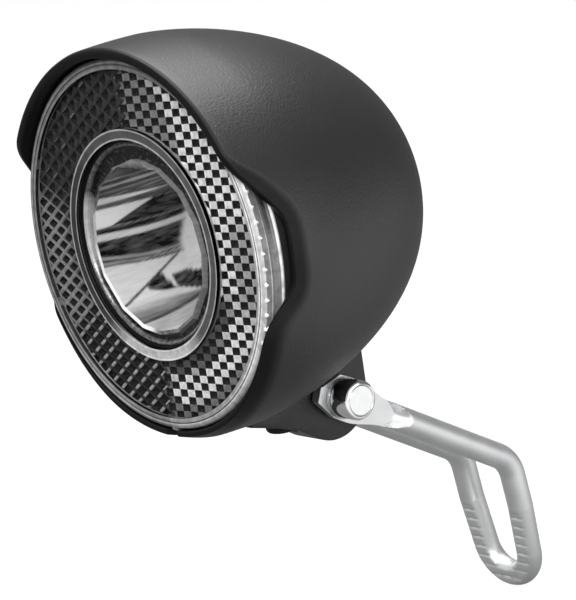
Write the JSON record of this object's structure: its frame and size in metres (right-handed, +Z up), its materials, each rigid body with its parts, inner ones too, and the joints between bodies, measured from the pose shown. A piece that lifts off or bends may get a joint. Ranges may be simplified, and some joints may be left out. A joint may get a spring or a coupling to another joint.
{
  "type": "bicycle headlight",
  "caption": "Round bicycle headlight with a visor, clear lens, prism reflector ring and faceted mirror bowl, tilting on a bent wire bracket with a bolt slot for the fork crown.",
  "frame": {"origin": "middle of the clamping bolt in the bracket's loop, on the back face of the loop's flattened band", "axes": "-Y is the way the beam points, +X is the side with the pivot bolt's round head, +Z is up"},
  "size_m": [0.0732, 0.0818, 0.126],
  "materials": {
    "black_abs": "moulded with a fine leather grain",
    "clear_acrylic": "clear and polished",
    "prism_acrylic": "clear corner-cube prisms",
    "carrier_abs": "glossy black moulding",
    "seal_rubber": "matt",
    "mirror_coat": "vacuum-metallised mirror on plastic",
    "screw_steel": "zinc plated",
    "board_aluminium": "white solder mask on aluminium",
    "emitter_phosphor": "phosphor under silicone",
    "sink_aluminium": "extruded and plain",
    "circuit_board": "green solder mask",
    "capacitor_sleeve": "shrunk sleeve",
    "component_resin": "moulded resin",
    "lead_sleeve": "insulated wire",
    "blade_brass": "stamped",
    "grommet_rubber": "matt",
    "bracket_steel": "satin zinc plate on bent wire",
    "bolt_chrome": "bright nickel plate",
    "nut_steel": "zinc plated"
  },
  "bodies": {
    "bracket": {"wire_bracket": "bracket_steel", "pivot_bolt": "bolt_chrome", "pivot_washers": "nut_steel", "pivot_nut": "nut_steel"},
    "lamp": {"housing": "black_abs", "front_lens": "clear_acrylic", "prism_ring": "prism_acrylic", "lens_carrier": "carrier_abs", "lens_seal": "seal_rubber", "lamp_reflector": "mirror_coat", "reflector_screws": "screw_steel", "lamp_board": "board_aluminium", "light_emitter": "emitter_phosphor", "heat_sink": "sink_aluminium", "heat_sink_screws": "screw_steel", "driver_board": "circuit_board", "board_screws": "screw_steel", "storage_capacitor": "capacitor_sleeve", "board_components": "component_resin", "lamp_leads": "lead_sleeve", "cable_blades": "blade_brass", "cable_grommet": "grommet_rubber"}
  },
  "joints": [
    {"name": "lamp_tilt", "type": "hinge", "parent": "bracket", "child": "lamp", "pos_m": [0, -0.04363, 0.04309], "axis": [1, 0, 0], "range_deg": [-60, 60]}
  ]
}
